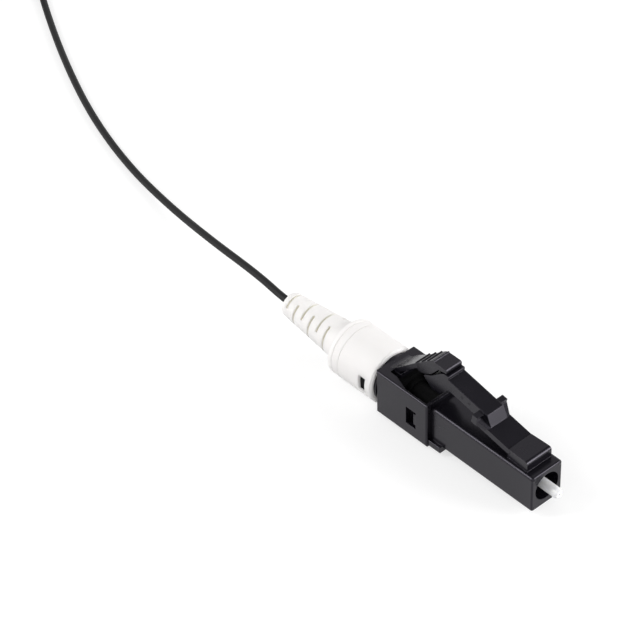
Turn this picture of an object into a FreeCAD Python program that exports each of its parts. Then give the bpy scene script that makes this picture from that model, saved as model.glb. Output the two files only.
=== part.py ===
import FreeCAD, Part
import math
import os

from FreeCAD import Vector

# Simplex small-form fibre connector on a length of buffered fibre, in millimetres.
# Origin: on the ferrule's axis, in the plane of the housing's front face.
# +X points out of the ferrule's tip, +Z towards the latch, +Y to the connector's left.

# Clearances
FIT_CLEARANCE = 0.03        # snug moulded fits that never move
SLIDE_CLEARANCE = 0.1       # round pieces that slide in a bore
HINGE_CLEARANCE = 0.04      # around the rounded roots of the latch and the trigger
GLASS_CLEARANCE = 0.012     # glass fibre in its bores
PICK = 0.01                 # how near an edge's middle lies to the place it is picked by

# Ferrule and glass
FERRULE_DIA = 1.25
FERRULE_LENGTH = 6.5
FERRULE_PROUD = 1.9
FERRULE_FLOAT = 0.7         # how far the ferrule gives way against its spring
TIP_CONE_LENGTH = 0.35
TIP_FLAT_DIA = 0.9
SHANK_DIA = 0.9             # the end that is pressed into the holder
SHANK_LENGTH = 1.7
GLASS_DIA = 0.125
STUB_REACH = 3.0            # factory glass inside the splice

# Front housing
HOUSING_WIDTH = 4.5
HOUSING_HEIGHT = 4.85
HOUSING_TOP_Z = 2.325       # top above the axis
HOUSING_SHOW = 15.3         # front face to the sleeve
HOUSING_EDGE_R = 0.35
HOUSING_RIM_R = 0.2
FRONT_BORE_DIA = 3.45
FRONT_BORE_DEPTH = 4.2
SHOULDER_THICK = 0.8
CAVITY_DIA = 3.7
FOOT_LENGTH = 1.8
FOOT_PROUD = 0.45
FOOT_HEIGHT = 0.8
FOOT_DROP = 0.45            # how far the feet reach below the housing
FOOT_OVERLAP = 0.56         # how far they reach under its side
FOOT_ROUND = 0.11
SNAP_LENGTH = 1.15
SNAP_FLAT = 0.38            # level front of its ramp
SNAP_HEIGHT = 1.5
SNAP_PROUD = 0.6
POCKET_DEPTH = 1.7          # room under the trigger, cut into the housing's top
POCKET_INSET = 0.6          # behind the sleeve's front face

# Latch, with its root block on the housing
ROOT_INSET = 1.2            # front face to the root block
ROOT_LENGTH = 3.1
ROOT_HEIGHT = 1.3
ROOT_FRONT_WIDTH = 3.65
ROOT_ROUND = 0.4
ARM_RISE = 11.5             # degrees
ARM_THICK = 0.78
ARM_WIDTH = 3.4
ARM_LENGTH = 4.8
STEP_START = 3.05           # along the arm, from the root
STEP_RUN = 0.9
UPPER_TOP = 1.62            # above the arm's middle plane
UPPER_THICK = 1.47
UPPER_WIDTH = 2.45
LUG_FOOT_WIDTH = 3.2        # at the foot of the step
LUG_WIDTH = 4.5
LUG_RAMP = 1.3              # from the foot of the step
LUG_RAMP_RISE = 1.0         # above the arm's middle plane
LUG_LENGTH = 0.75           # behind the ramp
LUG_FRONT_RISE = 1.46
LUG_REAR_RISE = 1.4
LUG_THICK = 1.15
TAIL_AHEAD = 1.57           # front of the tail ahead of the sleeve
TAIL_STEP = 0.38
TAIL_FLAT = 0.77
TAIL_BACK = [(1.27, 0.335), (2.655, 1.515), (3.725, 2.08), (3.82, 2.26)]   # from its front and its top
TAIL_ROOM = 0.95            # free height between the tail and the sleeve's top
TAIL_SLANT_RUN = 1.35       # from the tail's front to its flat underside
TAIL_UNDER_RUN = 1.2        # length of that underside
LATCH_EDGE_R = 0.1

# Trigger sleeve
SLEEVE_LENGTH = 8.0
SLEEVE_SIDE_WALL = 0.65
SLEEVE_TOP_WALL = 0.575
SLEEVE_REAR_WALL = 1.8
SLEEVE_EDGE_R = 0.22
COLLAR_DIA = 6.0
COLLAR_LENGTH = 0.35
MOUTH_BAR = 0.35            # bar left across the front of the top opening
MOUTH_REAR_INSET = 2.37     # rear of the top opening, from the sleeve's rear face
MOUTH_FRONT_WIDTH = 5.3
MOUTH_FLARE = 2.1           # length over which the opening widens
RELIEF_LENGTH = 1.14        # slots beside the trigger's root
RELIEF_WIDTH = 0.5
WINDOW_INSET = 1.73         # sleeve's front face to its side windows
WINDOW_LENGTH = 1.53
WINDOW_HEIGHT = 2.4
WINDOW_DROP = 0.4           # window's middle below the axis

# Trigger lever
TRIGGER_ROOT_INSET = 1.75   # root's centre ahead of the sleeve's rear face
TRIGGER_ROOT_RISE = 0.27    # root's centre above the sleeve's top
TRIGGER_THICK = 0.6
TRIGGER_ROOT_WIDTH = 2.8
TRIGGER_WAIST_WIDTH = 2.0
TRIGGER_WAIST_REACH = 2.75  # from the root's centre
TRIGGER_NOSE_WIDTH = 2.3
CREST_R = 1.2
CREST_LENGTH = 1.83         # flat on top, up to the nose
NOSE_OVERLAP = 0.38         # nose past the rear of the tail's flat top
NOSE_GAP = 0.12
NOSE_THICK = 0.53
NOSE_ROUND = 0.12
LEVER_UNDER = [(1.62, 0.04), (2.77, 1.42), (3.87, 2.12), (4.62, 2.39)]   # from the tail's front and top
HEEL_RISE = 0.2             # from the heel to where it meets the belly
RIDGE_COUNT = 4
RIDGE_PITCH = 1.17
RIDGE_START = 0.15          # from the crest's rear edge
RIDGE_R = 0.13

# Ferrule holder and spring
HOLDER_NOSE_DIA = 2.2
HOLDER_NOSE_LENGTH = 2.1
FLANGE_LENGTH = 1.2
HOLDER_DIA = 2.3
SPRING_LENGTH = 6.3
SPRING_WIRE = 0.32
SPRING_TURNS = 6
SPRING_SIDES = 8            # sides of the wire's section

# Rear body, which backs the spring and carries the boot
REAR_FLANGE_LENGTH = 1.07
WAIST_DIA = 3.0
WAIST_FRONT = 1.5           # behind the spring
WAIST_REAR = 0.6            # ahead of the flange
SPIGOT_DIA = 5.1
SPIGOT_LENGTH = 8.0
SPIGOT_WALL = 0.45
BOOT_LUG_PROUD = 0.55

# Splice
SPLICE_LENGTH = 8.0
SPLICE_DIA = 1.9
SPLICE_START = 0.6          # behind the rear body's flange
SPLICE_SPLIT = 0.02
SPLICE_SHELL = 0.15         # wall of the holder around the splice
CAM_LENGTH = 5.5
CAM_KEY_WIDTH = 0.5
CAM_KEY_RISE = 0.15
CRIMP_LENGTH = 4.5
CRIMP_DIA = 1.8
CRIMP_RIM = 0.4

# Boot
BOOT_DIA = 7.0
BOOT_FRONT_CHAMFER = 0.22
BOOT_BASE_LENGTH = 6.9
BOOT_SHOULDER = 0.6
BOOT_SHOULDER_BULGE = 0.15  # how far the shoulder stands out from a straight cone
BOOT_NECK_DIA = 4.8
BOOT_TAIL_DIA = 3.05
BOOT_CONE_LENGTH = 9.55
BOOT_TAIL_R = 0.45
BOOT_WINDOW_LENGTH = 1.05
BOOT_WINDOW_HEIGHT = 2.0
BOOT_WINDOW_INSET = 0.95    # boot's front face to its side windows
BOOT_SLOT_WIDTH = 0.32
BOOT_SLOT_ANGLE = 130.0
BOOT_SLOT_COUNT = 6
BOOT_SLOT_END = 0.98        # last slot to the tail's end
BOOT_SLOT_START = 1.72      # shoulder's end to the first slot
BOOT_RING_INSETS = (1.5, 0.5)   # fine grooves, ahead of the shoulder
BOOT_RING_WIDTH = 0.14
BOOT_RING_DEPTH = 0.07

# Cord: its points behind the boot are chosen to follow the way it lies
CORD_DIA = 0.9
CORD_CLEARANCE = 0.05
CORD_ARC_SHARE = 0.45       # part of a straight run that one of its end arcs takes up
BUFFER_IN = 1.0             # buffer's front end inside the crimp tube, from the tube's front
BUFFER_BORE = 1.6           # bored length that the glass can move in
BUFFER_STRAIGHT = 4.5       # straight front end, past the bored length
CORD_ROUTE = [
    (-45.5, 0.0, 0.0),
    (-56.0, 1.45, -1.1),
    (-66.0, 3.1, -2.7),
    (-76.0, 4.9, -3.05),
    (-87.0, 8.25, -3.05),
    (-98.5, 13.3, -3.05),
    (-110.0, 18.65, -3.05),
    (-119.8, 24.35, -2.9),
]
COIL_CENTRE = (-127.5, 17.6)
COIL_OUTER_R = 9.95
COIL_INNER_R = 5.6
COIL_HEIGHT = 4.6
COIL_BEVEL = 0.4
TIE_WIDTH = 2.2
TIE_THICK = 0.25
TIE_ANGLE = 242.0

# Places worked out from the sizes above; a name that ends in _X or _Z is a station on that axis
GLASS_BORE_DIA = GLASS_DIA + 2 * GLASS_CLEARANCE
GLASS_FREE_DIA = GLASS_DIA + 4 * GLASS_CLEARANCE
HOUSING_BOTTOM_Z = HOUSING_TOP_Z - HOUSING_HEIGHT
SLEEVE_FRONT_X = -HOUSING_SHOW
SLEEVE_REAR_X = SLEEVE_FRONT_X - SLEEVE_LENGTH
SLEEVE_INNER_WIDTH = HOUSING_WIDTH + 2 * FIT_CLEARANCE
SLEEVE_INNER_TOP_Z = HOUSING_TOP_Z + FIT_CLEARANCE
SLEEVE_INNER_BOTTOM_Z = HOUSING_BOTTOM_Z - FIT_CLEARANCE
SLEEVE_WIDTH = SLEEVE_INNER_WIDTH + 2 * SLEEVE_SIDE_WALL
SLEEVE_TOP_Z = SLEEVE_INNER_TOP_Z + SLEEVE_TOP_WALL
SLEEVE_BOTTOM_Z = SLEEVE_INNER_BOTTOM_Z - SLEEVE_TOP_WALL
SLEEVE_WALL_X = SLEEVE_REAR_X + SLEEVE_REAR_WALL
MOUTH_REAR_WIDTH = TRIGGER_ROOT_WIDTH + 2 * RELIEF_WIDTH
FLANGE_REAR_X = SLEEVE_WALL_X + FIT_CLEARANCE
HOUSING_REAR_X = FLANGE_REAR_X + REAR_FLANGE_LENGTH

LATCH_X = -(ROOT_INSET + ROOT_LENGTH)
LATCH_Z = HOUSING_TOP_Z + ROOT_HEIGHT - ARM_THICK / 2
RISE = math.radians(ARM_RISE)
TAIL_X = SLEEVE_FRONT_X + TAIL_AHEAD
TAIL_TOP_Z = (
    LATCH_Z + (LATCH_X - TAIL_X) * math.tan(RISE) + UPPER_TOP / math.cos(RISE) + TAIL_STEP
)
TAIL_FLAT_X = TAIL_X - TAIL_FLAT
TAIL_BOTTOM_Z = SLEEVE_TOP_Z + TAIL_ROOM

TRIGGER_X = SLEEVE_REAR_X + TRIGGER_ROOT_INSET
TRIGGER_Z = SLEEVE_TOP_Z + TRIGGER_ROOT_RISE
NOSE_X = TAIL_FLAT_X + NOSE_OVERLAP
NOSE_UNDER_Z = TAIL_TOP_Z + NOSE_GAP
CREST_Z = NOSE_UNDER_Z + NOSE_THICK
CREST_X = NOSE_X - CREST_LENGTH

SHOULDER_X = -FRONT_BORE_DEPTH - SHOULDER_THICK
SHANK_X = FERRULE_PROUD - FERRULE_LENGTH + SHANK_LENGTH
FERRULE_REAR_X = FERRULE_PROUD - FERRULE_LENGTH
SPRING_FRONT_X = SHOULDER_X - FLANGE_LENGTH
SPRING_REAR_X = SPRING_FRONT_X - SPRING_LENGTH
SPRING_DIA = (HOLDER_DIA + CAVITY_DIA) / 2
SPIGOT_REAR_X = FLANGE_REAR_X - SPIGOT_LENGTH
SPIGOT_BORE_DIA = SPIGOT_DIA - 2 * SPIGOT_WALL
CAM_DIA = SPIGOT_BORE_DIA - 2 * CAM_KEY_RISE - SLIDE_CLEARANCE
SPLICE_FRONT_X = FLANGE_REAR_X - SPLICE_START
SPLICE_REAR_X = SPLICE_FRONT_X - SPLICE_LENGTH
SPLICE_HOUSE_DIA = SPLICE_DIA + 2 * FIT_CLEARANCE + 2 * SPLICE_SHELL
STUB_REAR_X = SPLICE_FRONT_X - STUB_REACH
CRIMP_REAR_X = SPLICE_REAR_X - CRIMP_LENGTH
BUFFER_X = SPLICE_REAR_X - BUFFER_IN

BOOT_FRONT_X = SLEEVE_REAR_X - COLLAR_LENGTH
BOOT_SHOULDER_X = BOOT_FRONT_X - BOOT_BASE_LENGTH
BOOT_NECK_X = BOOT_SHOULDER_X - BOOT_SHOULDER
BOOT_REAR_X = BOOT_NECK_X - BOOT_CONE_LENGTH
BOOT_BORE_DIA = SPIGOT_DIA + 2 * FIT_CLEARANCE
BOOT_THROAT_DIA = SPLICE_HOUSE_DIA + 2 * SLIDE_CLEARANCE
BOOT_SLOT_PITCH = (BOOT_CONE_LENGTH - BOOT_SLOT_END - BOOT_SLOT_START) / (BOOT_SLOT_COUNT - 1)
BOOT_WINDOW_X = BOOT_FRONT_X - BOOT_WINDOW_INSET
CORD_BORE_DIA = CORD_DIA + 2 * CORD_CLEARANCE
FLOOR_Z = -BOOT_DIA / 2

X_AXIS = Vector(1, 0, 0)
Y_AXIS = Vector(0, 1, 0)
Z_AXIS = Vector(0, 0, 1)


def box(x, y, z):
    """A block between the two values that each axis gives."""
    low = Vector(min(x), min(y), min(z))
    return Part.makeBox(max(x) - low.x, max(y) - low.y, max(z) - low.z, low)


def rod(x_from, x_to, dia):
    """A cylinder on the ferrule's axis."""
    return Part.makeCylinder(dia / 2, abs(x_to - x_from), Vector(min(x_from, x_to), 0, 0), X_AXIS)


def tube(x_from, x_to, dia, bore):
    return rod(x_from, x_to, dia).cut(rod(x_from, x_to, bore))


def cross_rod(x, z, radius, width):
    """A cylinder across the connector, along Y."""
    return Part.makeCylinder(radius, width, Vector(x, -width / 2, z), Y_AXIS)


def face_of(points, lift):
    """A flat face through points, which lift turns into vectors. Four numbers are an arc's middle and end."""
    edges = []
    first = last = lift(*points[0])
    for point in points[1:]:
        if len(point) == 4:
            middle, end = lift(*point[:2]), lift(*point[2:])
            edges.append(Part.Arc(last, middle, end).toShape())
        else:
            end = lift(*point)
            edges.append(Part.LineSegment(last, end).toShape())
        last = end
    if last.distanceToPoint(first) > PICK:
        edges.append(Part.LineSegment(last, first).toShape())
    return Part.Face(Part.Wire(edges))


def side_profile(points, width):
    """Extrudes an outline in X and Z across the connector's width."""
    face = face_of(points, lambda x, z: Vector(x, -width / 2, z))
    return face.extrude(Y_AXIS * width)


def plan_profile(points, z):
    """Extrudes half an outline, given as X and half width, to both sides and between two heights."""
    outline = points + [(x, -y) for x, y in reversed(points)]
    face = face_of(outline, lambda x, y: Vector(x, y, min(z)))
    return face.extrude(Z_AXIS * (max(z) - min(z)))


def turned(points):
    """Turns an outline in X and radius about the ferrule's axis."""
    face = face_of(points, lambda x, r: Vector(x, 0, r))
    return face.revolve(Vector(0, 0, 0), X_AXIS, 360)


def edges_along(shape, direction, keep=lambda middle: True):
    """The straight edges that run along a direction and whose middle passes the test."""
    found = []
    for edge in shape.Edges:
        if edge.Curve.TypeId != "Part::GeomLine":
            continue
        if abs(edge.tangentAt(edge.FirstParameter).dot(direction)) > 0.999 and keep(edge.CenterOfMass):
            found.append(edge)
    return found


def both_sides(shape):
    return shape.fuse(shape.mirror(Vector(0, 0, 0), Y_AXIS))


def arm_place(shape):
    """Tilts a shape that was drawn along -X from the latch's root, and puts it there."""
    shape.rotate(Vector(0, 0, 0), Y_AXIS, ARM_RISE)
    shape.translate(Vector(LATCH_X, 0, LATCH_Z))
    return shape


def ferrule():
    tip = TIP_FLAT_DIA / 2
    body = turned([
        (FERRULE_REAR_X, 0),
        (FERRULE_REAR_X, SHANK_DIA / 2),
        (SHANK_X, SHANK_DIA / 2),
        (SHANK_X, FERRULE_DIA / 2),
        (FERRULE_PROUD - TIP_CONE_LENGTH, FERRULE_DIA / 2),
        (FERRULE_PROUD, tip),
        (FERRULE_PROUD, 0),
    ])
    return body.cut(rod(FERRULE_REAR_X, FERRULE_PROUD, GLASS_BORE_DIA))


def stub_fibre():
    return rod(STUB_REAR_X, FERRULE_PROUD, GLASS_DIA)


def field_fibre():
    return rod(BUFFER_X - BUFFER_BORE / 2, STUB_REAR_X, GLASS_DIA)


def ferrule_holder():
    """Turned holder: nose round the ferrule, flange on the housing's shoulder, and a shell for the splice."""
    flange_dia = CAVITY_DIA - 2 * SLIDE_CLEARANCE
    body = rod(SHANK_X - HOLDER_NOSE_LENGTH, SHANK_X, HOLDER_NOSE_DIA)
    body = body.fuse(rod(SPRING_FRONT_X, SHOULDER_X, flange_dia))
    body = body.fuse(rod(SPLICE_FRONT_X, SPRING_FRONT_X, HOLDER_DIA))
    body = body.fuse(rod(SPLICE_REAR_X, SPLICE_FRONT_X, SPLICE_HOUSE_DIA))
    body = body.cut(rod(FERRULE_REAR_X, SHANK_X, SHANK_DIA))
    body = body.cut(rod(SPLICE_FRONT_X, FERRULE_REAR_X, GLASS_FREE_DIA))
    return body.cut(rod(SPLICE_REAR_X, SPLICE_FRONT_X, SPLICE_DIA + 2 * FIT_CLEARANCE)).removeSplitter()


def splice_half(side):
    """One half of the splice: side is 1 above the fibre and -1 below it."""
    half = rod(SPLICE_REAR_X, SPLICE_FRONT_X, SPLICE_DIA)
    reach = SPLICE_DIA
    heights = (side * SPLICE_SPLIT / 2, side * reach)
    half = half.common(box((SPLICE_REAR_X, SPLICE_FRONT_X), (-reach, reach), heights))
    return half.cut(rod(SPLICE_REAR_X, SPLICE_FRONT_X, GLASS_BORE_DIA))


def cam_ring():
    """Ring round the split holder that closes the splice, with a key on top that shows it is turned home."""
    middle = (SPLICE_FRONT_X + SPLICE_REAR_X) / 2
    ends = (middle - CAM_LENGTH / 2, middle + CAM_LENGTH / 2)
    ring = rod(*ends, CAM_DIA)
    key_side = CAM_KEY_WIDTH / 2
    key = box((middle, ends[1]), (-key_side, key_side), (0, CAM_DIA / 2 + CAM_KEY_RISE))
    return ring.fuse(key).cut(rod(*ends, SPLICE_HOUSE_DIA + 2 * FIT_CLEARANCE)).removeSplitter()


def crimp_tube():
    body = rod(CRIMP_REAR_X, SPLICE_REAR_X, CRIMP_DIA)
    body = body.fuse(rod(SPLICE_REAR_X - CRIMP_RIM, SPLICE_REAR_X, SPLICE_HOUSE_DIA))
    return body.cut(rod(CRIMP_REAR_X, SPLICE_REAR_X, CORD_BORE_DIA)).removeSplitter()


def spring():
    """Coil spring with ends ground flat on the holder's flange and on the rear body."""
    coil = Part.makeHelix(SPRING_LENGTH / SPRING_TURNS, SPRING_LENGTH, SPRING_DIA / 2)
    corners = []
    for index in range(SPRING_SIDES + 1):
        angle = 2 * math.pi * index / SPRING_SIDES
        out = SPRING_DIA / 2 + SPRING_WIRE / 2 * math.cos(angle)
        corners.append(Vector(out, 0, SPRING_WIRE / 2 * math.sin(angle)))
    wire = Part.Wire(coil.Edges).makePipeShell([Part.makePolygon(corners)], True, True)
    wire.rotate(Vector(0, 0, 0), Y_AXIS, -90)
    wire.translate(Vector(SPRING_FRONT_X, 0, 0))
    reach = CAVITY_DIA
    return wire.common(box((SPRING_REAR_X, SPRING_FRONT_X), (-reach, reach), (-reach, reach)))


def front_housing():
    half_width = HOUSING_WIDTH / 2
    body = box((HOUSING_REAR_X, 0), (-half_width, half_width), (HOUSING_BOTTOM_Z, HOUSING_TOP_Z))
    body = body.makeFillet(HOUSING_EDGE_R, edges_along(body, X_AXIS))
    rim = [edge for edge in body.Edges if abs(edge.BoundBox.XMin) < PICK]
    body = body.makeFillet(HOUSING_RIM_R, rim)
    body = body.fuse(latch_root()).fuse(housing_feet()).fuse(snap_lugs())
    body = body.cut(rod(-FRONT_BORE_DEPTH, 0, FRONT_BORE_DIA))
    body = body.cut(rod(SHOULDER_X, -FRONT_BORE_DEPTH, HOLDER_NOSE_DIA + 2 * SLIDE_CLEARANCE))
    body = body.cut(rod(HOUSING_REAR_X, SHOULDER_X, CAVITY_DIA))
    pocket_x = (HOUSING_REAR_X, SLEEVE_FRONT_X - POCKET_INSET)
    pocket_z = (HOUSING_TOP_Z - POCKET_DEPTH, HOUSING_TOP_Z)
    return body.cut(box(pocket_x, (-half_width, half_width), pocket_z)).removeSplitter()


def latch_root():
    """Block that the latch arm grows from, hollowed round the arm's rounded end."""
    top = HOUSING_TOP_Z + ROOT_HEIGHT
    block = plan_profile(
        [(LATCH_X + HINGE_CLEARANCE, ARM_WIDTH / 2), (-ROOT_INSET, ROOT_FRONT_WIDTH / 2)],
        (HOUSING_TOP_Z - HOUSING_EDGE_R, top),
    )
    front_top = edges_along(block, Y_AXIS, lambda m: m.x > -ROOT_INSET - PICK and m.z > top - PICK)
    block = block.makeFillet(ROOT_ROUND, front_top)
    return block.cut(cross_rod(LATCH_X, LATCH_Z, ARM_THICK / 2 + HINGE_CLEARANCE, ROOT_FRONT_WIDTH))


def housing_feet():
    """Small stops at the lower edges that the sleeve butts against."""
    bottom = HOUSING_BOTTOM_Z - FOOT_DROP
    outside = HOUSING_WIDTH / 2 + FOOT_PROUD
    foot = box(
        (SLEEVE_FRONT_X + FIT_CLEARANCE, SLEEVE_FRONT_X + FOOT_LENGTH),
        (HOUSING_WIDTH / 2 - FOOT_OVERLAP, outside),
        (bottom, bottom + FOOT_HEIGHT),
    )
    outer = edges_along(foot, X_AXIS, lambda m: m.y > outside - PICK)
    return both_sides(foot.makeFillet(FOOT_ROUND, outer))


def snap_lugs():
    """Ramps on the housing's sides that snap into the sleeve's windows."""
    front = SLEEVE_FRONT_X - WINDOW_INSET - FIT_CLEARANCE
    side = HOUSING_WIDTH / 2
    ramp = face_of(
        [(front, 0), (front, side + SNAP_PROUD), (front - SNAP_FLAT, side + SNAP_PROUD),
         (front - SNAP_LENGTH, side), (front - SNAP_LENGTH, 0)],
        lambda x, y: Vector(x, y, -WINDOW_DROP - SNAP_HEIGHT / 2),
    )
    return both_sides(ramp.extrude(Z_AXIS * SNAP_HEIGHT))


def latch_arm():
    """Sprung arm: wide lower leaf, stepped upper arm with locking lugs, and a tail under the trigger."""
    half = ARM_THICK / 2
    leaf = box((-ARM_LENGTH, 0), (-ARM_WIDTH / 2, ARM_WIDTH / 2), (-half, half))
    leaf = leaf.fuse(cross_rod(0, 0, half, ARM_WIDTH))
    arm_end = (LATCH_X - TAIL_X) / math.cos(RISE) + UPPER_TOP * math.tan(RISE)
    step_end = STEP_START + STEP_RUN
    upper = side_profile(
        [(-STEP_START + half, 0), (-STEP_START, half), (-step_end, UPPER_TOP), (-arm_end, UPPER_TOP),
         (-arm_end, UPPER_TOP - UPPER_THICK), (-ARM_LENGTH, UPPER_TOP - UPPER_THICK), (-ARM_LENGTH, 0)],
        UPPER_WIDTH,
    )
    rims = edges_along(upper, X_AXIS, lambda m: m.z > UPPER_TOP - PICK)
    upper = upper.makeFillet(LATCH_EDGE_R, rims)
    arm = arm_place(leaf.fuse(upper).fuse(locking_lugs()))
    return arm.fuse(latch_tail()).removeSplitter()


def locking_lugs():
    """Lugs that catch in the adapter, with ramps that widen and rise to them from the foot of the step."""
    front = -STEP_START - LUG_RAMP
    rear = front - LUG_LENGTH
    lugs = side_profile(
        [(-STEP_START, 0), (-STEP_START, ARM_THICK / 2), (front, LUG_RAMP_RISE), (front, LUG_FRONT_RISE),
         (rear, LUG_REAR_RISE), (rear, LUG_REAR_RISE - LUG_THICK), (front, LUG_FRONT_RISE - LUG_THICK)],
        LUG_WIDTH,
    )
    plan = plan_profile(
        [(-STEP_START, LUG_FOOT_WIDTH / 2), (front, LUG_WIDTH / 2), (rear, LUG_WIDTH / 2)],
        (0, max(LUG_FRONT_RISE, LUG_REAR_RISE)),
    )
    return lugs.common(plan)


def from_tail(places):
    """Points given as distances behind the tail's front and below its top."""
    return [(TAIL_X - back, TAIL_TOP_Z - down) for back, down in places]


def latch_tail():
    """Hook at the end of the arm, slanted at the rear with a tongue that reaches back under the trigger."""
    arm_under = TAIL_TOP_Z - TAIL_STEP - UPPER_THICK / math.cos(RISE)
    under_x = TAIL_X - TAIL_SLANT_RUN
    tail = side_profile(
        [(TAIL_X, arm_under), (TAIL_X, TAIL_TOP_Z), (TAIL_FLAT_X, TAIL_TOP_Z)] + from_tail(TAIL_BACK)
        + [(under_x - TAIL_UNDER_RUN, TAIL_BOTTOM_Z), (under_x, TAIL_BOTTOM_Z)],
        UPPER_WIDTH,
    )
    front_top = edges_along(tail, Y_AXIS, lambda m: m.x > TAIL_X - PICK and m.z > TAIL_TOP_Z - PICK)
    return tail.makeFillet(LATCH_EDGE_R, front_top)


def trigger_sleeve():
    """Square sleeve over the housing's rear, open under the trigger, with a round collar for the boot."""
    half_width = SLEEVE_WIDTH / 2
    body = box((SLEEVE_REAR_X, SLEEVE_FRONT_X), (-half_width, half_width), (SLEEVE_BOTTOM_Z, SLEEVE_TOP_Z))
    rounded = edges_along(body, X_AXIS) + edges_along(body, Z_AXIS)
    body = body.makeFillet(SLEEVE_EDGE_R, rounded)
    body = body.fuse(rod(SLEEVE_REAR_X - COLLAR_LENGTH, SLEEVE_REAR_X, COLLAR_DIA))
    body = body.fuse(trigger_root())
    hollow = TRIGGER_THICK / 2 + HINGE_CLEARANCE
    body = body.cut(cross_rod(TRIGGER_X, TRIGGER_Z, hollow, TRIGGER_ROOT_WIDTH))
    inner_y = SLEEVE_INNER_WIDTH / 2
    inner_z = (SLEEVE_INNER_BOTTOM_Z, SLEEVE_INNER_TOP_Z)
    body = body.cut(box((SLEEVE_WALL_X, SLEEVE_FRONT_X), (-inner_y, inner_y), inner_z))
    body = body.cut(rod(SLEEVE_REAR_X - COLLAR_LENGTH, FLANGE_REAR_X, SPIGOT_DIA + 2 * FIT_CLEARANCE))
    mouth_rear = SLEEVE_REAR_X + MOUTH_REAR_INSET
    mouth = plan_profile(
        [(mouth_rear, MOUTH_REAR_WIDTH / 2), (mouth_rear + MOUTH_FLARE, MOUTH_FRONT_WIDTH / 2),
         (SLEEVE_FRONT_X - MOUTH_BAR, MOUTH_FRONT_WIDTH / 2)],
        (HOUSING_TOP_Z - HOUSING_EDGE_R, SLEEVE_TOP_Z + TRIGGER_ROOT_RISE),
    )
    body = body.cut(mouth)
    relief_y = (TRIGGER_ROOT_WIDTH / 2, MOUTH_REAR_WIDTH / 2)
    relief = box((mouth_rear - RELIEF_LENGTH, mouth_rear), relief_y, (SLEEVE_INNER_TOP_Z, SLEEVE_TOP_Z))
    body = body.cut(both_sides(relief))
    window_x = SLEEVE_FRONT_X - WINDOW_INSET
    windows = box(
        (window_x - WINDOW_LENGTH, window_x),
        (-half_width, half_width),
        (-WINDOW_DROP - WINDOW_HEIGHT / 2, -WINDOW_DROP + WINDOW_HEIGHT / 2),
    )
    return body.cut(windows).removeSplitter()


def trigger_root():
    """Swept-up root on the sleeve's top, behind the lever's rounded end."""
    radius = TRIGGER_THICK / 2
    top = TRIGGER_Z + radius * math.sqrt(0.5)
    foot_x = SLEEVE_REAR_X + TRIGGER_THICK
    return side_profile(
        [(TRIGGER_X, SLEEVE_TOP_Z - SLEEVE_TOP_WALL / 2), (foot_x, SLEEVE_TOP_Z - SLEEVE_TOP_WALL / 2),
         (foot_x, SLEEVE_TOP_Z),
         ((foot_x + TRIGGER_X) / 2, SLEEVE_TOP_Z + (top - SLEEVE_TOP_Z) / 3, TRIGGER_X - radius / 2, top),
         (TRIGGER_X, top)],
        TRIGGER_ROOT_WIDTH,
    )


def trigger_slope():
    """Angle of the lever's straight back, which is tangent to its rounded root and to its crest."""
    across = CREST_X - TRIGGER_X
    up = CREST_Z - CREST_R - TRIGGER_Z
    return math.atan2(up, across) + math.asin((CREST_R - TRIGGER_THICK / 2) / math.hypot(across, up))


def trigger_lever():
    """Arched lever: straight ribbed back, rounded crest, nose over the latch's tail and heel behind it."""
    slope = trigger_slope()
    radius = TRIGGER_THICK / 2
    normal = (-math.sin(slope), math.cos(slope))
    back_low = (TRIGGER_X + radius * normal[0], TRIGGER_Z + radius * normal[1])
    belly_low = (TRIGGER_X - radius * normal[0], TRIGGER_Z - radius * normal[1])
    crest_low_z = CREST_Z - CREST_R
    back_high = (CREST_X + CREST_R * normal[0], crest_low_z + CREST_R * normal[1])
    back_mid = (CREST_X - CREST_R * math.sin(slope / 2), crest_low_z + CREST_R * math.cos(slope / 2))
    under = from_tail(LEVER_UNDER)
    belly_z = under[-1][1] + HEEL_RISE
    belly_x = belly_low[0] + (belly_z - belly_low[1]) / math.tan(slope)
    lever = side_profile(
        [back_low, back_high, (*back_mid, CREST_X, CREST_Z), (NOSE_X - NOSE_ROUND, CREST_Z),
         (NOSE_X, CREST_Z - NOSE_ROUND), (NOSE_X, NOSE_UNDER_Z), (TAIL_FLAT_X, NOSE_UNDER_Z)]
        + under + [(belly_x, belly_z), belly_low],
        TRIGGER_ROOT_WIDTH,
    )
    lever = lever.fuse(cross_rod(TRIGGER_X, TRIGGER_Z, radius, TRIGGER_ROOT_WIDTH))
    for index in range(RIDGE_COUNT):
        ridge_x, ridge_z = crest_point(slope, RIDGE_START + index * RIDGE_PITCH)
        lever = lever.fuse(cross_rod(ridge_x, ridge_z, RIDGE_R, TRIGGER_ROOT_WIDTH))
    waist_x = TRIGGER_X + TRIGGER_WAIST_REACH
    plan = plan_profile(
        [(TRIGGER_X - TRIGGER_THICK, TRIGGER_ROOT_WIDTH / 2), (TRIGGER_X + radius, TRIGGER_ROOT_WIDTH / 2),
         (waist_x, TRIGGER_WAIST_WIDTH / 2), (CREST_X, TRIGGER_NOSE_WIDTH / 2),
         (NOSE_X, TRIGGER_NOSE_WIDTH / 2)],
        (0, CREST_Z + RIDGE_R),
    )
    return lever.common(plan).removeSplitter()


def crest_point(slope, distance):
    """Point on the lever's back, at a distance behind the crest along its surface."""
    angle = min(distance / CREST_R, slope)
    beyond = max(distance - CREST_R * slope, 0)
    x = CREST_X - CREST_R * math.sin(angle) - beyond * math.cos(slope)
    z = CREST_Z - CREST_R * (1 - math.cos(angle)) - beyond * math.sin(slope)
    return x, z


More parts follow.
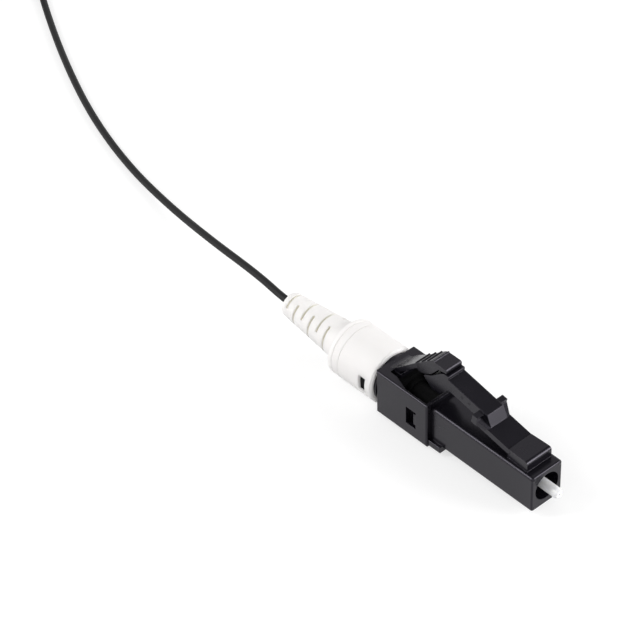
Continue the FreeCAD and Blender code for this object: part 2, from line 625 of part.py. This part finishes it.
def rear_body():
    """Spring stop in the housing, square flange held by the sleeve, and a spigot with lugs for the boot."""
    body = rod(HOUSING_REAR_X, SPRING_REAR_X, CAVITY_DIA - 2 * FIT_CLEARANCE)
    body = body.cut(tube(HOUSING_REAR_X + WAIST_REAR, SPRING_REAR_X - WAIST_FRONT, CAVITY_DIA, WAIST_DIA))
    flange_y = HOUSING_WIDTH / 2
    flange = box((FLANGE_REAR_X, HOUSING_REAR_X), (-flange_y, flange_y), (HOUSING_BOTTOM_Z, HOUSING_TOP_Z))
    body = body.fuse(flange.makeFillet(HOUSING_EDGE_R, edges_along(flange, X_AXIS)))
    body = body.fuse(rod(SPIGOT_REAR_X, FLANGE_REAR_X, SPIGOT_DIA))
    lug_y = SPIGOT_DIA / 2 + BOOT_LUG_PROUD
    lug_x = (BOOT_WINDOW_X - FIT_CLEARANCE, BOOT_WINDOW_X - BOOT_WINDOW_LENGTH + FIT_CLEARANCE)
    lug_z = BOOT_WINDOW_HEIGHT / 2 - FIT_CLEARANCE
    body = body.fuse(box(lug_x, (-lug_y, lug_y), (-lug_z, lug_z)))
    body = body.cut(rod(FLANGE_REAR_X, SPRING_REAR_X, HOLDER_DIA + 2 * SLIDE_CLEARANCE))
    return body.cut(rod(SPIGOT_REAR_X, FLANGE_REAR_X, SPIGOT_BORE_DIA)).removeSplitter()


def boot():
    """Strain relief: a plain base that snaps on the spigot, a shoulder and a slotted cone."""
    base_r, neck_r, tail_r = BOOT_DIA / 2, BOOT_NECK_DIA / 2, BOOT_TAIL_DIA / 2
    bore_r, throat_r, cord_r = BOOT_BORE_DIA / 2, BOOT_THROAT_DIA / 2, CORD_BORE_DIA / 2
    bore_end = SPIGOT_REAR_X - FIT_CLEARANCE
    throat_end = CRIMP_REAR_X - FERRULE_FLOAT - SLIDE_CLEARANCE
    corner = BOOT_TAIL_R * (1 - math.sqrt(0.5))
    shoulder_mid = ((BOOT_SHOULDER_X + BOOT_NECK_X) / 2, (base_r + neck_r) / 2 + BOOT_SHOULDER_BULGE)
    shape = turned([
        (BOOT_FRONT_X, bore_r),
        (BOOT_FRONT_X, base_r - BOOT_FRONT_CHAMFER),
        (BOOT_FRONT_X - BOOT_FRONT_CHAMFER, base_r),
        (BOOT_SHOULDER_X, base_r),
        (*shoulder_mid, BOOT_NECK_X, neck_r),
        (BOOT_REAR_X + BOOT_TAIL_R, tail_r),
        (BOOT_REAR_X + corner, tail_r - corner, BOOT_REAR_X, tail_r - BOOT_TAIL_R),
        (BOOT_REAR_X, cord_r),
        (throat_end - throat_r + cord_r, cord_r),
        (throat_end, throat_r),
        (bore_end - bore_r + throat_r, throat_r),
        (bore_end, bore_r),
    ])
    for inset in BOOT_RING_INSETS:
        ring_x = BOOT_SHOULDER_X + inset
        floor_dia = BOOT_DIA - 2 * BOOT_RING_DEPTH
        shape = shape.cut(tube(ring_x, ring_x + BOOT_RING_WIDTH, BOOT_DIA, floor_dia))
    for index in range(BOOT_SLOT_COUNT):
        slot_x = BOOT_REAR_X + BOOT_SLOT_END + index * BOOT_SLOT_PITCH
        shape = shape.cut(boot_slot(slot_x, 90 * ((index + 1) % 2)))
    window = box(
        (BOOT_WINDOW_X - BOOT_WINDOW_LENGTH, BOOT_WINDOW_X),
        (-base_r, base_r),
        (-BOOT_WINDOW_HEIGHT / 2, BOOT_WINDOW_HEIGHT / 2),
    )
    return shape.cut(window)


def boot_slot(x, turn):
    """A pair of opposite slots through the boot's wall, centred at an angle about the axis."""
    pair = None
    for side in (0, 180):
        slot = Part.makeCylinder(
            BOOT_DIA, BOOT_SLOT_WIDTH, Vector(x - BOOT_SLOT_WIDTH / 2, 0, 0), X_AXIS, BOOT_SLOT_ANGLE
        )
        slot.rotate(Vector(0, 0, 0), X_AXIS, turn + side - math.degrees(slot_middle(slot)))
        pair = slot if pair is None else pair.fuse(slot)
    return pair


def slot_middle(slot):
    """Angle about the axis, from +Y towards +Z, of a slot's middle."""
    return math.atan2(slot.CenterOfMass.z, slot.CenterOfMass.y)


def rounded_path(points):
    """Straight runs joined by tangent arcs, each as large as its two runs allow. Prints the arcs' radii."""
    points = [Vector(*p) for p in points]
    edges, radii, last = [], [], points[0]
    for before, corner, after in zip(points, points[1:], points[2:]):
        back, on = before - corner, after - corner
        reach = CORD_ARC_SHARE * min(back.Length, on.Length)
        turn = math.pi - back.getAngle(on)
        radius = reach / math.tan(turn / 2)
        radii.append(round(radius, 1))
        back, on = back.normalize(), on.normalize()
        start, end = corner + back * reach, corner + on * reach
        bisector = (back + on).normalize()
        middle = corner + bisector * (radius / math.cos(turn / 2) - radius)
        edges.append(Part.LineSegment(last, start).toShape())
        edges.append(Part.Arc(start, middle, end).toShape())
        last = end
    edges.append(Part.LineSegment(last, points[-1]).toShape())
    print("cord arc radii, mm:", radii)
    return Part.Wire(edges)


def cord_run():
    """Buffered fibre from the crimp tube, through the boot and down to the coil."""
    path = rounded_path([(BUFFER_X - BUFFER_STRAIGHT, 0, 0)] + CORD_ROUTE)
    section = Part.Wire(Part.makeCircle(CORD_DIA / 2, path.Edges[0].Vertexes[0].Point, X_AXIS))
    run = path.makePipeShell([section], True, False)
    expected = math.pi * CORD_DIA ** 2 / 4 * path.Length
    print("cord run volume over section times length: %.4f" % (run.Volume / expected))
    return run.fuse(stripped_end()).removeSplitter()


def stripped_end():
    """Front end of the buffer, bored where the glass moves in it."""
    end = rod(BUFFER_X - BUFFER_STRAIGHT, BUFFER_X, CORD_DIA)
    return end.cut(rod(BUFFER_X - BUFFER_BORE, BUFFER_X, GLASS_FREE_DIA))


def coil_base_z():
    return FLOOR_Z + TIE_THICK


def cord_coil():
    """Outer shape of the coil that the spare length is wound into."""
    base = coil_base_z()
    centre = Vector(*COIL_CENTRE, base)
    ring = Part.makeCylinder(COIL_OUTER_R, COIL_HEIGHT, centre)
    ring = ring.cut(Part.makeCylinder(COIL_INNER_R, COIL_HEIGHT, centre))
    rims = [edge for edge in ring.Edges if edge.Curve.TypeId == "Part::GeomCircle"]
    return ring.makeChamfer(COIL_BEVEL, rims)


def coil_tie():
    """Band round the coil's section."""
    middle = (COIL_OUTER_R + COIL_INNER_R) / 2
    half = (COIL_OUTER_R - COIL_INNER_R) / 2
    sag = COIL_OUTER_R - math.sqrt(COIL_OUTER_R ** 2 - TIE_WIDTH ** 2 / 4)
    base = coil_base_z()
    inner = box((middle - half - sag, middle + half), (-TIE_WIDTH, TIE_WIDTH), (base, base + COIL_HEIGHT))
    outer = box(
        (middle - half - sag - TIE_THICK, middle + half + TIE_THICK),
        (-TIE_WIDTH / 2, TIE_WIDTH / 2),
        (base - TIE_THICK, base + COIL_HEIGHT + TIE_THICK),
    )
    outer = outer.makeFillet(COIL_BEVEL, edges_along(outer, Y_AXIS))
    band = outer.cut(inner)
    band.rotate(Vector(0, 0, 0), Z_AXIS, TIE_ANGLE)
    band.translate(Vector(*COIL_CENTRE, 0))
    return band


def main():
    os.makedirs("parts", exist_ok=True)
    pieces = {
        "ferrule": ferrule(),
        "stub_fibre": stub_fibre(),
        "field_fibre": field_fibre(),
        "ferrule_holder": ferrule_holder(),
        "splice_upper": splice_half(1),
        "splice_lower": splice_half(-1),
        "cam_ring": cam_ring(),
        "crimp_tube": crimp_tube(),
        "spring": spring(),
        "front_housing": front_housing(),
        "latch_arm": latch_arm(),
        "trigger_sleeve": trigger_sleeve(),
        "trigger_lever": trigger_lever(),
        "rear_body": rear_body(),
        "boot": boot(),
        "cord_run": cord_run(),
        "cord_coil": cord_coil(),
        "coil_tie": coil_tie(),
    }
    for name, shape in pieces.items():
        shape.exportStep(os.path.join("parts", name + ".step"))
        box_of = shape.BoundBox
        print(
            "%-16s solids %d valid %s volume %8.3f  x %.2f %.2f  y %.2f %.2f  z %.2f %.2f"
            % (name, len(shape.Solids), shape.isValid(), shape.Volume, box_of.XMin, box_of.XMax,
               box_of.YMin, box_of.YMax, box_of.ZMin, box_of.ZMax)
        )


main()
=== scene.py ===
import math

import bpy
from mathutils import Matrix, Vector
from mathutils.geometry import convex_hull_2d


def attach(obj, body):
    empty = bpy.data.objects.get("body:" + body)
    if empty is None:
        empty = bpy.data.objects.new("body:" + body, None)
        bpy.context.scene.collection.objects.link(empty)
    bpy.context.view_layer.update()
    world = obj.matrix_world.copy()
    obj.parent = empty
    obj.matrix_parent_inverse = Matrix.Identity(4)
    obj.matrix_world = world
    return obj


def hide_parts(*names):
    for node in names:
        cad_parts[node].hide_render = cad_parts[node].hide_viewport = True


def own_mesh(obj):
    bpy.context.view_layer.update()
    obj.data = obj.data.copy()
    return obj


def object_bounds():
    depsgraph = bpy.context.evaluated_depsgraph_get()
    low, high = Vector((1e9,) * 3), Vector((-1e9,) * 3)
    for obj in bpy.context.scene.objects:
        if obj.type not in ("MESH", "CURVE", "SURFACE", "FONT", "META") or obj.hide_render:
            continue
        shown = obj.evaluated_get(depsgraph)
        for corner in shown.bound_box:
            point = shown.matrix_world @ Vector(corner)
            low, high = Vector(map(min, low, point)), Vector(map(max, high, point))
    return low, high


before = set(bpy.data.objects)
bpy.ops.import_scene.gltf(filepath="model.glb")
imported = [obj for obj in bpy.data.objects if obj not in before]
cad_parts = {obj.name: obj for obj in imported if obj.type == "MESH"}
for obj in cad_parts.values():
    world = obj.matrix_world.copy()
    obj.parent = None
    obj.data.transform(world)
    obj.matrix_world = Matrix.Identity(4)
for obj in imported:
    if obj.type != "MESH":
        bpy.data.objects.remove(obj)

# Looks of the fibre connector: camera, light, floor and finishes, the cord at its full length with
# its tie, and a spring that can be squeezed. Lengths are in metres, or in millimetres where a name
# ends in MM, in the part's own frame: +X out of the ferrule's tip, +Z towards the latch.

CAD_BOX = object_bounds()
MM = 0.001
FULL_TURN = 2 * math.pi

# Camera: it looks at a point on the sleeve, which lies at a given pixel of the square picture
PICTURE_PX = 640
CAMERA_AZIMUTH = math.radians(46.2)
CAMERA_ELEVATION = math.radians(42.66)
CAMERA_DISTANCE = 320 * MM
CAMERA_NEAR = 10 * MM
CAMERA_TARGET = Vector((-20, 0, 2)) * MM
TARGET_PIXEL = (416.1, 379.1)
TARGET_PX_PER_M = 9.14 / MM
SENSOR_WIDTH_MM = 36

# Cord: its route is the model's, moved by up to half a diameter to follow the photograph
CORD_DIA = 0.9 * MM
CORD_ROUTE_MM = [
    (-31.07, 0.0, 0.0),
    (-35.57, 0.0, 0.0),
    (-41.6, 0.0, 0.0),
    (-47.0, 0.7, -0.1),
    (-56.0, 1.6, -1.1),
    (-66.0, 3.3, -2.65),
    (-76.0, 5.0, -3.05),
    (-87.0, 8.13, -3.05),
    (-98.5, 12.97, -3.05),
    (-110.0, 18.79, -3.05),
    (-119.8, 24.42, -2.9),
]
CORD_STEPS_AROUND = 6       # how round its section is
CORD_STEPS_ALONG = 8        # between two points of its route

# Coil of the length that the photograph doesn't show
COIL_CENTRE_MM = (-127.5, 17.6)
COIL_BOTTOM_MM = -2.8       # axis of the lowest turns
COIL_OUTER_MM = 9.4         # middle of the outermost turn
COIL_TURN_PITCH_MM = 0.96
COIL_LAYER_PITCH_MM = 0.92
COIL_LAYERS = 5
COIL_TURNS_PER_LAYER = 3.37
COIL_CLIMB_TURNS = 0.35
COIL_START_ANGLE = math.radians(62.8)
COIL_POINTS_PER_TURN = 16
COIL_STEP = FULL_TURN / COIL_POINTS_PER_TURN

# Strap round the coil's turns
TIE_ANGLE = math.radians(242)
TIE_WIDTH_MM = 2.2
TIE_THICK_MM = 0.2
TIE_PLAY_MM = 0.03
TIE_RAYS = 16               # directions in which it bends round the outer turns
TIE_CORNERS = 4             # of its own section: inner and outer, on both edges

# Finishes
GRAIN_DEPTH = 0.004 * MM
NOISE_LOW, NOISE_HIGH = 0.3, 0.7    # most of a noise lies between these
EDGE_SAMPLES = 6
MOULD_DOTS = [Vector(place) * MM for place in ((-11.64, -1.225, 5.6), (-10.57, -1.225, 5.44))]
MOULD_DOT_R = 0.17 * MM
MOULD_DOT_CORE = 0.6                # flat part of a dot's radius
MOULD_DOT_DEPTH = 0.06 * MM
BOOT_CONE = {
    "front_x": -31.15 * MM, "front_r": 2.4 * MM,
    "rear_x": -40.7 * MM, "rear_r": 1.525 * MM,
}
SLOT_SHADE_FROM, SLOT_SHADE_TO = 0.05 * MM, 0.3 * MM      # depths between which the painted warm shade of its slots comes in
ROUGH_LESS, ROUGH_MORE = 0.05, 0.07     # spread about the given roughness

# Floor, world and lamps
FLOOR_HALF = 1.5
FLOOR_COLOUR = (0.5, 0.5, 0.5, 1)
FLOOR_LIFT = 0.58           # added for the camera and mirrors, so that the lit floor is white
WHITE = (1, 1, 1, 1)
SKY_LOW, SKY_HIGH = 1.0, 0.1        # level of the studio's walls and of its ceiling
SKY_FROM, SKY_TO = 0.66, 0.88       # sines of the heights between which the one becomes the other
LAMP_DISTANCE = 1.0
LAMPS = {                   # direction, width, height and power
    "left_lamp": ((-0.53, -0.68, 0.51), 0.22, 0.9, 5.0),
    "right_lamp": ((0.8, 0.51, 0.3), 0.4, 0.65, 7.5),
    "top_lamp": ((0, 0, 1), 0.5, 0.5, 0.35),
}


def add_object(name, data):
    """A new object in the scene."""
    made = bpy.data.objects.new(name, data)
    bpy.context.scene.collection.objects.link(made)
    return made


# Pieces made here

def coil_turns():
    """Radius, height and angle along the turns: flat spirals, in and out by turns, stacked."""
    radius, height, angle = COIL_OUTER_MM, COIL_BOTTOM_MM, COIL_START_ANGLE
    spiral_points = round(COIL_TURNS_PER_LAYER * COIL_POINTS_PER_TURN)
    climb_points = round(COIL_CLIMB_TURNS * COIL_POINTS_PER_TURN)
    turns = []
    for layer in range(COIL_LAYERS):
        way = -1 if layer % 2 == 0 else 1
        for _ in range(spiral_points):
            turns.append((radius, height, angle))
            angle += COIL_STEP
            radius += way * COIL_TURN_PITCH_MM / COIL_POINTS_PER_TURN
        if layer == COIL_LAYERS - 1:
            break
        for _ in range(climb_points):
            turns.append((radius, height, angle))
            angle += COIL_STEP
            height += COIL_LAYER_PITCH_MM / climb_points
    return turns


def coil_points():
    """Control points of the turns, which stand a little outside them."""
    outward = 1 / math.cos(COIL_STEP / 2)
    return [(
        COIL_CENTRE_MM[0] + radius * outward * math.cos(angle),
        COIL_CENTRE_MM[1] + radius * outward * math.sin(angle),
        height,
    ) for radius, height, angle in coil_turns()]


def turns_under_tie():
    """Radius and height of each turn where it passes the tie."""
    turns = coil_turns()
    found = []
    for (radius, height, angle), (next_radius, next_height, _) in zip(turns, turns[1:]):
        part = (TIE_ANGLE - angle) % FULL_TURN / COIL_STEP
        if part < 1:
            here = Vector((radius, height))
            found.append(here.lerp(Vector((next_radius, next_height)), part))
    return found


def make_tie():
    """The strap as a closed band that lies snug on the turns."""
    inside = CORD_DIA / MM / 2 + TIE_PLAY_MM
    angles = [FULL_TURN * count / TIE_RAYS for count in range(TIE_RAYS)]
    rays = [Vector((math.cos(angle), math.sin(angle))) for angle in angles]
    spots = [(turn, ray) for turn in turns_under_tie() for ray in rays]
    hull = convex_hull_2d([turn + ray * inside for turn, ray in spots])
    middle = Vector((*COIL_CENTRE_MM, 0))
    out = Vector((math.cos(TIE_ANGLE), math.sin(TIE_ANGLE), 0))
    up = Vector((0, 0, 1))
    along = out.cross(up)
    corners, faces = [], []
    for count, index in enumerate(hull):
        turn, ray = spots[index]
        for reach in (inside, inside + TIE_THICK_MM):
            place = turn + ray * reach
            for side in (-TIE_WIDTH_MM / 2, TIE_WIDTH_MM / 2):
                corners.append((middle + out * place.x + up * place.y + along * side) * MM)
        this = TIE_CORNERS * count
        after = TIE_CORNERS * ((count + 1) % len(hull))
        # its back, its face on the turns, and its two edges
        for first, second in ((2, 3), (1, 0), (0, 2), (3, 1)):
            faces.append((this + first, after + first, after + second, this + second))
    mesh = bpy.data.meshes.new("coil_strap")
    mesh.from_pydata(corners, [], faces)
    tie = add_object("coil_strap", mesh)
    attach(tie, "housing")
    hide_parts("coil_tie")
    return tie


def make_cord():
    """The buffered fibre as one smooth curve, from the connector to the end of its coil."""
    curve = bpy.data.curves.new("cord", "CURVE")
    curve.dimensions = "3D"
    curve.bevel_depth = 1           # times each point's radius, which also sets the curve's bounds
    curve.bevel_resolution = CORD_STEPS_AROUND
    curve.use_fill_caps = True
    curve.resolution_u = CORD_STEPS_ALONG
    spline = curve.splines.new("NURBS")
    places = CORD_ROUTE_MM + coil_points()
    spline.points.add(len(places) - 1)
    for point, place in zip(spline.points, places):
        point.co = (*(Vector(place) * MM), 1)
        point.radius = CORD_DIA / 2
    spline.order_u = 3
    spline.use_endpoint_u = True
    cord = add_object("cord", curve)
    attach(cord, "housing")
    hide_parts("cord_run", "cord_coil")
    return cord


def make_spring():
    """The spring as a piece of its own, so that it is squeezed when the ferrule gives way."""
    spring = add_object("squeezed_spring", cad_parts["spring"].data.copy())
    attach(spring, "housing")
    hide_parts("spring")
    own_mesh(spring)
    return spring


# Finishes

class Nodes:
    """A node tree, with short ways to add and join its nodes."""

    def __init__(self, tree):
        self.tree = tree

    def node(self, kind, inputs=None, **settings):
        made = self.tree.nodes.new(kind)
        for key, value in settings.items():
            setattr(made, key, value)
        for key, value in (inputs or {}).items():
            self.put(made.inputs[key], value)
        return made

    def put(self, socket, value):
        if isinstance(value, bpy.types.NodeSocket):
            self.tree.links.new(value, socket)
        else:
            socket.default_value = value

    def maths(self, operation, first, second):
        return self.node("ShaderNodeMath", {0: first, 1: second}, operation=operation).outputs[0]

    def vector(self, operation, inputs, output):
        made = self.node("ShaderNodeVectorMath", inputs, operation=operation)
        return made.outputs[output]

    def ramp(self, value, start, end, low=0.0, high=1.0, clamp=True):
        made = self.node("ShaderNodeMapRange", {
            "Value": value, "From Min": start, "From Max": end, "To Min": low, "To Max": high,
        }, clamp=clamp)
        return made.outputs["Result"]


class Finish(Nodes):
    """A new material with one surface shader."""

    def __init__(self, name):
        self.material = bpy.data.materials.new(name)
        self.material.use_nodes = True
        super().__init__(self.material.node_tree)
        self.shader = self.tree.nodes["Principled BSDF"]
        self.place = self.node("ShaderNodeTexCoord").outputs["Object"]

    def set(self, **values):
        for key, value in values.items():
            self.put(self.shader.inputs[key.replace("_", " ")], value)

    def noise(self, feature, detail, stretch=(1, 1, 1)):
        """Noise whose features are about the given length."""
        place = self.node("ShaderNodeMapping", {"Vector": self.place, "Scale": stretch})
        made = self.node("ShaderNodeTexNoise", {
            "Vector": place.outputs["Vector"], "Scale": 1 / feature, "Detail": detail,
        })
        return made.outputs["Fac"]

    def between(self, noise, low, high):
        return self.ramp(noise, NOISE_LOW, NOISE_HIGH, low, high)

    def colours(self, factor, low, high):
        """Mix of two colours, each written out or taken from a node."""
        mix = self.node("ShaderNodeMix", {"Factor": factor}, data_type="RGBA")
        for key, colour in (("A", low), ("B", high)):
            self.put(mix.inputs[key], (*colour, 1) if isinstance(colour, tuple) else colour)
        return mix.outputs["Result"]

    def bump(self, height, depth, strength=1.0, normal=None):
        made = self.node("ShaderNodeBump", {
            "Height": height, "Distance": depth, "Strength": strength,
        })
        if normal is not None:
            self.put(made.inputs["Normal"], normal)
        return made.outputs["Normal"]

    def soft_edges(self, radius):
        made = self.node("ShaderNodeBevel", {"Radius": radius}, samples=EDGE_SAMPLES)
        return made.outputs["Normal"]

    def dots(self, places, radius):
        """1 within a radius of any of the places, 0 away from them."""
        total = 0.0
        for place in places:
            away = self.vector("DISTANCE", {0: self.place, 1: place}, "Value")
            dot = self.ramp(away, MOULD_DOT_CORE * radius, radius, 1.0, 0.0)
            total = self.maths("MAXIMUM", total, dot)
        return total

    def depth_below_cone(self, front_x, front_r, rear_x, rear_r):
        """Depth below a cone around the X axis, such as in a slot of it."""
        x = self.node("ShaderNodeSeparateXYZ", {"Vector": self.place}).outputs["X"]
        across = self.vector("MULTIPLY", {0: self.place, 1: (0, 1, 1)}, "Vector")
        radius = self.vector("LENGTH", {0: across}, "Value")
        surface = self.ramp(x, rear_x, front_x, rear_r, front_r, clamp=False)
        return self.maths("SUBTRACT", surface, radius)

    def camera_or_mirror(self):
        """1 for rays from the camera, mirrors and glass, 0 for the others."""
        path = self.node("ShaderNodeLightPath").outputs
        mirrored = self.maths("MAXIMUM", path["Is Glossy Ray"], path["Is Transmission Ray"])
        return self.maths("MAXIMUM", path["Is Camera Ray"], mirrored)


def black_plastic():
    finish = Finish("moulded_black")
    fine = finish.noise(feature=0.12 * MM, detail=4)
    broad = finish.noise(feature=3 * MM, detail=2)
    edges = finish.soft_edges(radius=0.07 * MM)
    grain = finish.bump(fine, depth=GRAIN_DEPTH, strength=0.15, normal=edges)
    dots = finish.dots(MOULD_DOTS, MOULD_DOT_R)
    finish.set(
        Base_Color=finish.colours(broad, (0.0035, 0.0032, 0.0048), (0.005, 0.0046, 0.0068)),
        Roughness=finish.between(broad, 0.22, 0.28),
        Specular_IOR_Level=0.3,
        Specular_Tint=(0.98, 0.925, 1.08, 1),
        Normal=finish.bump(dots, depth=-MOULD_DOT_DEPTH, normal=grain),
    )
    return finish.material


def shaded_inner_black():
    finish = Finish("shaded_inner_black")
    fine = finish.noise(feature=0.1 * MM, detail=4)
    # Painted shade: a darker, duller copy of the moulded black, so that the hollow under the
    # trigger, where this body is seen, reads as deep shadow
    finish.set(
        Base_Color=finish.colours(fine, (0.002, 0.002, 0.0022), (0.004, 0.004, 0.0044)),
        Roughness=finish.between(fine, 0.6, 0.75),
        Specular_IOR_Level=0.1,
        Normal=finish.bump(fine, depth=GRAIN_DEPTH, strength=0.3),
    )
    return finish.material


def white_boot():
    finish = Finish("boot_white")
    fine = finish.noise(feature=0.15 * MM, detail=4)
    broad = finish.noise(feature=2.5 * MM, detail=2)
    edges = finish.soft_edges(radius=0.06 * MM)
    plain = finish.colours(broad, (0.848, 0.826, 0.814), (0.878, 0.858, 0.847))
    depth = finish.depth_below_cone(**BOOT_CONE)
    # Painted shade: deep in the slots the white turns a warmer, duller tint, standing in for light
    # bounced inside them
    slot_shade = finish.ramp(depth, SLOT_SHADE_FROM, SLOT_SHADE_TO)
    finish.set(
        Base_Color=finish.colours(slot_shade, plain, (0.87, 0.835, 0.73)),
        Roughness=finish.between(fine, 0.48, 0.6),
        Subsurface_Weight=0.8,
        Subsurface_Radius=(1.0, 1.0, 1.0),
        Subsurface_Scale=1.2 * MM,
        Normal=finish.bump(fine, depth=GRAIN_DEPTH, strength=0.5, normal=edges),
    )
    return finish.material


def ceramic():
    finish = Finish("ferrule_ceramic")
    fine = finish.noise(feature=0.2 * MM, detail=3, stretch=(0.2, 1, 1))
    finish.set(
        Base_Color=finish.colours(fine, (0.79, 0.79, 0.8), (0.83, 0.83, 0.84)),
        Roughness=finish.between(fine, 0.2, 0.24),
        Subsurface_Weight=0.3,
        Subsurface_Radius=(0.7, 0.7, 0.6),
        Subsurface_Scale=0.3 * MM,
    )
    return finish.material


def cord_jacket():
    finish = Finish("cord_black")
    fine = finish.noise(feature=0.1 * MM, detail=3)
    broad = finish.noise(feature=4 * MM, detail=2)
    finish.set(
        Base_Color=finish.colours(broad, (0.009, 0.009, 0.0095), (0.013, 0.013, 0.0135)),
        Roughness=finish.between(broad, 0.46, 0.56),
        Specular_IOR_Level=0.2,
        Normal=finish.bump(fine, depth=0.005 * MM, strength=0.5),
    )
    return finish.material


def tie_strap():
    finish = Finish("tie_black")
    weave = finish.noise(feature=0.15 * MM, detail=2)
    finish.set(
        Base_Color=finish.colours(weave, (0.03, 0.03, 0.03), (0.05, 0.05, 0.05)),
        Roughness=finish.between(weave, 0.5, 0.65),
        Normal=finish.bump(weave, depth=0.01 * MM, strength=0.6),
    )
    return finish.material


def metal(name, dark, pale, rough, stretch):
    """Metal with fine lines from turning or drawing, which the stretch lays along an axis."""
    finish = Finish(name)
    lines = finish.noise(feature=0.06 * MM, detail=2, stretch=stretch)
    finish.set(
        Base_Color=finish.colours(lines, dark, pale),
        Metallic=1.0,
        Roughness=finish.between(lines, rough - ROUGH_LESS, rough + ROUGH_MORE),
        Normal=finish.bump(lines, depth=0.003 * MM, strength=0.4),
    )
    return finish.material


def inner_plastic(name, dark, pale, rough):
    finish = Finish(name)
    fine = finish.noise(feature=0.2 * MM, detail=3)
    finish.set(
        Base_Color=finish.colours(fine, dark, pale),
        Roughness=finish.between(fine, rough - ROUGH_LESS, rough + ROUGH_MORE),
        Normal=finish.bump(fine, depth=GRAIN_DEPTH, strength=0.4),
    )
    return finish.material


def glass_fibre():
    finish = Finish("fibre_glass")
    fine = finish.noise(feature=0.05 * MM, detail=2)
    finish.set(
        Base_Color=(0.95, 0.97, 1.0, 1),
        Roughness=finish.between(fine, 0.02, 0.06),
        Transmission_Weight=0.9,
        IOR=1.46,
    )
    return finish.material


def dress_pieces(cord, tie, spring):
    """Gives every node its finish, and the pieces made here those of the nodes they replace."""
    plated = metal("plated_brass", (0.62, 0.61, 0.58), (0.75, 0.74, 0.71), 0.28, (1, 0.1, 0.1))
    black = black_plastic()
    clear = inner_plastic("splice_plastic", (0.78, 0.8, 0.81), (0.85, 0.87, 0.88), 0.3)
    glass = glass_fibre()
    jacket = cord_jacket()
    finishes = {
        "ferrule": ceramic(),
        "stub_fibre": glass,
        "field_fibre": glass,
        "ferrule_holder": plated,
        "splice_upper": clear,
        "splice_lower": clear,
        "cam_ring": inner_plastic("cam_plastic", (0.1, 0.1, 0.105), (0.14, 0.14, 0.145), 0.4),
        "crimp_tube": plated,
        "spring": metal("spring_wire", (0.5, 0.5, 0.52), (0.62, 0.62, 0.64), 0.22, (0.2, 1, 1)),
        "front_housing": black,
        "latch_arm": black,
        "trigger_sleeve": black,
        "trigger_lever": black,
        "rear_body": shaded_inner_black(),
        "boot": white_boot(),
        "cord_run": jacket,
        "cord_coil": jacket,
        "coil_tie": tie_strap(),
    }
    pieces = [(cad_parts[name], material) for name, material in finishes.items()]
    pieces += [(cord, jacket), (tie, finishes["coil_tie"]), (spring, finishes["spring"])]
    for piece, material in pieces:
        piece.data.materials.clear()
        piece.data.materials.append(material)


# Camera and stage

def make_camera():
    """Camera that shows its target at the given pixel, with no shift of the lens."""
    back = Vector((
        math.sin(CAMERA_AZIMUTH) * math.cos(CAMERA_ELEVATION),
        -math.cos(CAMERA_AZIMUTH) * math.cos(CAMERA_ELEVATION),
        math.sin(CAMERA_ELEVATION),
    ))
    right = Vector((math.cos(CAMERA_AZIMUTH), math.sin(CAMERA_AZIMUTH), 0))
    up = back.cross(right)
    focal_px = TARGET_PX_PER_M * CAMERA_DISTANCE
    middle = PICTURE_PX / 2
    aside = right * (middle - TARGET_PIXEL[0]) + up * (TARGET_PIXEL[1] - middle)
    aim = -back * focal_px + aside
    z_axis = -aim.normalized()
    x_axis = (right - z_axis * right.dot(z_axis)).normalized()
    y_axis = z_axis.cross(x_axis)
    data = bpy.data.cameras.new("camera")
    data.sensor_width = SENSOR_WIDTH_MM
    data.lens = SENSOR_WIDTH_MM * focal_px / PICTURE_PX
    data.clip_start = CAMERA_NEAR
    camera = add_object("camera", data)
    place = Matrix((x_axis, y_axis, z_axis)).transposed().to_4x4()
    place.translation = CAMERA_TARGET + back * CAMERA_DISTANCE
    camera.matrix_world = place
    bpy.context.scene.camera = camera


def make_floor():
    low = CAD_BOX[0][2]
    corners = [(-1, -1), (1, -1), (1, 1), (-1, 1)]
    mesh = bpy.data.meshes.new("floor")
    mesh.from_pydata(
        [(x * FLOOR_HALF, y * FLOOR_HALF, low) for x, y in corners], [], [(0, 1, 2, 3)],
    )
    finish = Finish("floor_white")
    finish.set(
        Base_Color=FLOOR_COLOUR,
        Roughness=0.9,
        Specular_IOR_Level=0.0,
        Emission_Color=WHITE,
        Emission_Strength=finish.maths("MULTIPLY", finish.camera_or_mirror(), FLOOR_LIFT),
    )
    mesh.materials.append(finish.material)
    add_object("floor", mesh)


def make_world():
    """Studio with bright walls and a dim ceiling."""
    world = bpy.data.worlds.new("studio")
    world.use_nodes = True
    nodes = Nodes(world.node_tree)
    direction = nodes.node("ShaderNodeTexCoord").outputs["Generated"]
    height = nodes.node("ShaderNodeSeparateXYZ", {"Vector": direction}).outputs["Z"]
    sky = nodes.ramp(height, SKY_FROM, SKY_TO, SKY_LOW, SKY_HIGH)
    background = world.node_tree.nodes["Background"]
    nodes.put(background.inputs["Color"], WHITE)
    nodes.put(background.inputs["Strength"], sky)
    bpy.context.scene.world = world


def make_lamps():
    """Soft boxes, LAMP_DISTANCE away in their directions, that face the connector."""
    for name, (direction, width, height, power) in LAMPS.items():
        data = bpy.data.lights.new(name, "AREA")
        data.shape = "RECTANGLE"
        data.size = width
        data.size_y = height
        data.energy = power
        lamp = add_object(name, data)
        away = Vector(direction).normalized()
        lamp.location = CAMERA_TARGET + away * LAMP_DISTANCE
        lamp.rotation_euler = away.to_track_quat("Z", "Y").to_euler()


tie = make_tie()
cord = make_cord()
spring = make_spring()
dress_pieces(cord, tie, spring)
make_camera()
make_floor()
make_world()
make_lamps()
bpy.context.scene.view_settings.view_transform = "Standard"

bpy.context.view_layer.update()
